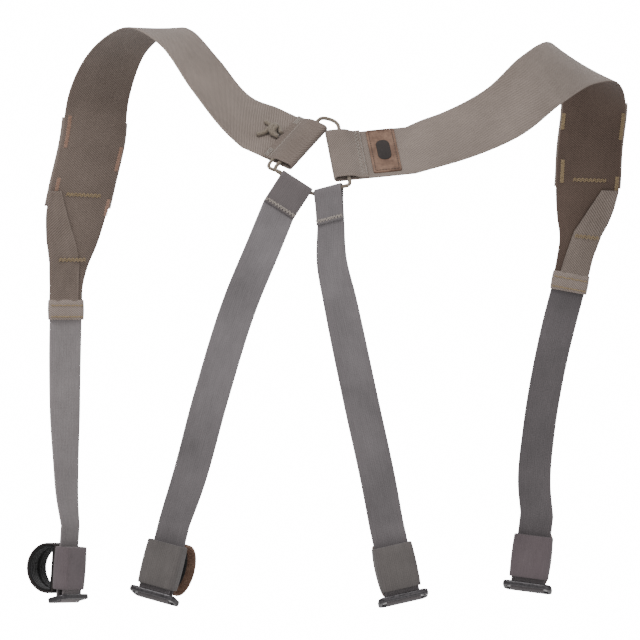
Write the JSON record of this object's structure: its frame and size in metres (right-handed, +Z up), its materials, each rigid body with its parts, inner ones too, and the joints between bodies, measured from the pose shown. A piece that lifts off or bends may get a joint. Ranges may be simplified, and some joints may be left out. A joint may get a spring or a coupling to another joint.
{
  "type": "shoulder harness",
  "caption": "Webbing shoulder harness joined by a cord hub on the back, with wide shoulder straps and narrow straps ending in a slider, a keeper and a lined leather loop.",
  "frame": {"origin": "middle of the cord hub on the wearer's back", "axes": "+Z up, +Y from the wearer's back to the front, +X to the right as seen from behind the wearer"},
  "size_m": [0.4628, 0.2222, 0.4412],
  "materials": {
    "wide_webbing": "woven twill, matte",
    "narrow_webbing": "ribbed weave, matte",
    "keeper_webbing": "smooth tight weave, matte",
    "cord": "braided cord",
    "thread": "thick sewing thread",
    "leather": "oiled, worn edges",
    "emblem": "dark smooth leather",
    "loop_lining": "ribbed elastic, black",
    "slider_metal": "dark, semi-matte, worn edges"
  },
  "bodies": {
    "root": {"left_shoulder_webbing": "wide_webbing", "right_shoulder_webbing": "wide_webbing", "left_end_band": "wide_webbing", "right_end_band": "wide_webbing", "hub_cord": "cord", "hub_knot": "cord", "leather_patch": "leather", "patch_emblem": "emblem", "left_hub_stitching": "thread", "right_hub_stitching": "thread", "left_accessory_sleeve": "wide_webbing", "right_accessory_sleeve": "wide_webbing", "left_sleeve_bartacks": "thread", "right_sleeve_bartacks": "thread"},
    "left_rear_strap": {"left_rear_webbing": "narrow_webbing", "left_rear_stitching": "thread"},
    "right_rear_strap": {"right_rear_webbing": "narrow_webbing", "right_rear_stitching": "thread"},
    "left_front_strap": {"left_front_webbing": "narrow_webbing"},
    "right_front_strap": {"right_front_webbing": "narrow_webbing"},
    "left_front_buckle": {"left_front_slider": "slider_metal"},
    "left_front_fastener": {"left_front_keeper": "keeper_webbing", "left_front_leather_loop": "leather", "left_front_loop_lining": "loop_lining"},
    "left_rear_buckle": {"left_rear_slider": "slider_metal"},
    "left_rear_fastener": {"left_rear_keeper": "keeper_webbing", "left_rear_leather_loop": "leather", "left_rear_loop_lining": "loop_lining"},
    "right_rear_buckle": {"right_rear_slider": "slider_metal"},
    "right_rear_fastener": {"right_rear_keeper": "keeper_webbing", "right_rear_leather_loop": "leather", "right_rear_loop_lining": "loop_lining"},
    "right_front_buckle": {"right_front_slider": "slider_metal"},
    "right_front_fastener": {"right_front_keeper": "keeper_webbing", "right_front_leather_loop": "leather", "right_front_loop_lining": "loop_lining"}
  },
  "joints": [
    {"name": "left_rear_swing", "type": "hinge", "parent": "root", "child": "left_rear_strap", "pos_m": [-0.01338, -0.0123, -0.01966], "axis": [0.8413, -0.0192, -0.5403], "range_deg": [-45, 10]},
    {"name": "right_rear_swing", "type": "hinge", "parent": "root", "child": "right_rear_strap", "pos_m": [0.01212, -0.01741, -0.02477], "axis": [0.9075, -0.3488, 0.2342], "range_deg": [-45, 10]},
    {"name": "left_front_swing", "type": "hinge", "parent": "root", "child": "left_front_strap", "pos_m": [-0.1918, 0.168, -0.1215], "axis": [0.9404, 0.3401, 0], "range_deg": [-10, 60]},
    {"name": "right_front_swing", "type": "hinge", "parent": "root", "child": "right_front_strap", "pos_m": [0.1948, 0.166, -0.1], "axis": [0.9835, 0, -0.1807], "range_deg": [-10, 60]},
    {"name": "left_front_buckle_tilt", "type": "hinge", "parent": "left_front_strap", "child": "left_front_buckle", "pos_m": [-0.1894, 0.16, -0.3349], "axis": [0.4988, 0.866, -0.0349], "range_deg": [-4, 20]},
    {"name": "left_front_fastener_slide", "type": "slide", "parent": "left_front_strap", "child": "left_front_fastener", "axis": [0.0698, 0, 0.9976], "range_m": [0, 0.012]},
    {"name": "left_rear_buckle_tilt", "type": "hinge", "parent": "left_rear_strap", "child": "left_rear_buckle", "pos_m": [-0.1177, -0.012, -0.3239], "axis": [0.8794, -0.4226, -0.2193], "range_deg": [-4, 20]},
    {"name": "left_rear_fastener_slide", "type": "slide", "parent": "left_rear_strap", "child": "left_rear_fastener", "axis": [0.2419, 0, 0.9703], "range_m": [0, 0.012]},
    {"name": "right_rear_buckle_tilt", "type": "hinge", "parent": "right_rear_strap", "child": "right_rear_buckle", "pos_m": [0.0657, -0.012, -0.3258], "axis": [0.9672, 0.1392, 0.2126], "range_deg": [-4, 20]},
    {"name": "right_rear_fastener_slide", "type": "slide", "parent": "right_rear_strap", "child": "right_rear_fastener", "axis": [-0.2147, 0, 0.9767], "range_m": [0, 0.012]},
    {"name": "right_front_buckle_tilt", "type": "hinge", "parent": "right_front_strap", "child": "right_front_buckle", "pos_m": [0.1641, 0.16, -0.3261], "axis": [0.9775, -0.1736, -0.12], "range_deg": [-4, 20]},
    {"name": "right_front_fastener_slide", "type": "slide", "parent": "right_front_strap", "child": "right_front_fastener", "axis": [0.1219, 0, 0.9925], "range_m": [0, 0.012]}
  ]
}
